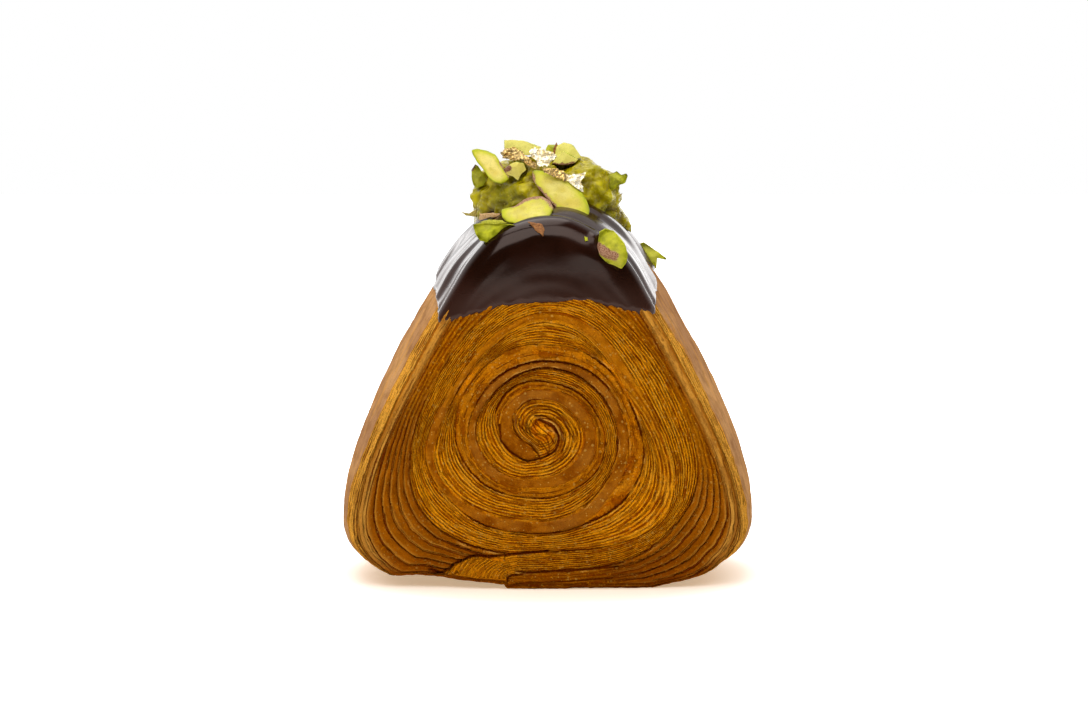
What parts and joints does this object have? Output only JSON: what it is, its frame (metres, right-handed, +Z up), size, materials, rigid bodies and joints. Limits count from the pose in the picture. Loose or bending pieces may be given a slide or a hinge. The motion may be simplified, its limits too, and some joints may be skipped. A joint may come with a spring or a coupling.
{
  "type": "kunafa croissant",
  "caption": "Triangular laminated pastry roll with a spiral end, its top dipped in dark chocolate under pistachio cream, chopped pistachios and gold leaf.",
  "frame": {"origin": "on the surface it stands on, under the middle of the object's box", "axes": "+Z up; the spiral end with the loose tail faces -Y, and +X is to the right of someone looking at that end"},
  "size_m": [0.0904, 0.0618, 0.0965],
  "materials": {
    "pastry": "baked laminated dough, satin",
    "chocolate": "glossy dark chocolate",
    "cream": "oily pistachio cream",
    "nut_cut": "cut pistachio kernel",
    "nut_green": "pistachio kernel with bits of skin",
    "gold": "crinkled gold leaf"
  },
  "bodies": {
    "root": {"pastry": "pastry", "chocolate_coat": "chocolate", "pistachio_cream": "cream", "nut_slice_large": "nut_cut", "nut_half_front": "nut_cut", "nut_slice_left": "nut_cut", "nut_green_front": "nut_green", "nut_chunk_right": "nut_green", "nut_top": "nut_green", "nut_chip_upper": "nut_green", "nut_chip_lower": "nut_green", "nut_pale_middle": "nut_green", "nut_green_left": "nut_green", "nut_green_right": "nut_green", "nut_bit_side": "nut_green", "nut_slice_back": "nut_cut", "nut_half_back": "nut_cut", "nut_chunk_back": "nut_green", "nut_green_back": "nut_green", "nut_top_back": "nut_green", "gold_leaf_left": "gold", "gold_leaf_middle": "gold", "gold_leaf_strip": "gold"}
  },
  "joints": []
}
